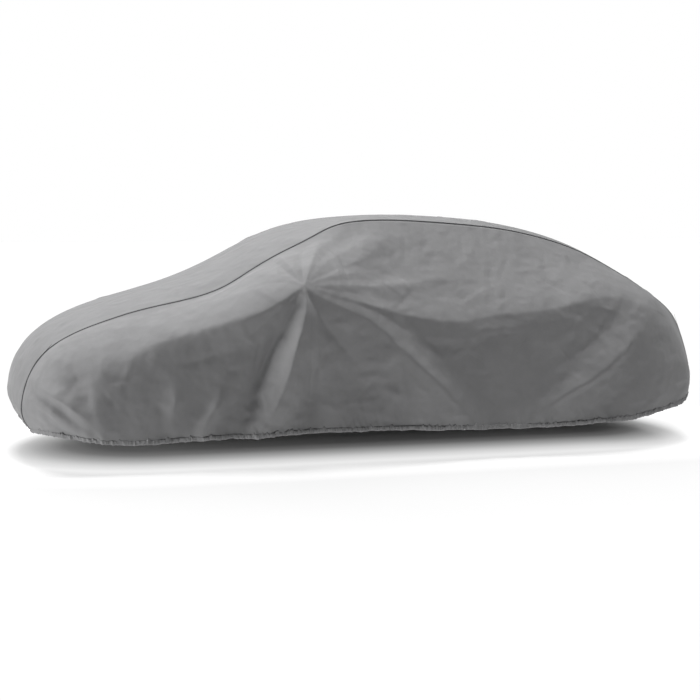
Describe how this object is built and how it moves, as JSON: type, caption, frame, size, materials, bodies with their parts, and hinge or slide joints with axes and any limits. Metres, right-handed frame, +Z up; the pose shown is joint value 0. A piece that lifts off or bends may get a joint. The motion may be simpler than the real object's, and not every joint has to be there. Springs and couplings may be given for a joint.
{
  "type": "fitted car cover",
  "caption": "Fitted car cover of grey non-woven cloth with bound lengthwise seams and a gathered hem, hollow below, in the shape it hangs in.",
  "frame": {"origin": "on the cloth's inner face, under the top of the roof, where what it covers holds it up", "axes": "+X from the nose to the tail, +Y to the right side, +Z up"},
  "size_m": [4.3733, 2.0791, 1.2855],
  "materials": {
    "cover_cloth": "matt grey bonded fibre with a dull sheen, faint dots and fine crumples",
    "seam_tape": "matt dark grey woven tape"
  },
  "bodies": {
    "root": {"centre_panel": "cover_cloth", "side_panel_left": "cover_cloth", "side_panel_right": "cover_cloth", "seam_binding_left": "seam_tape", "seam_binding_right": "seam_tape"}
  },
  "joints": []
}
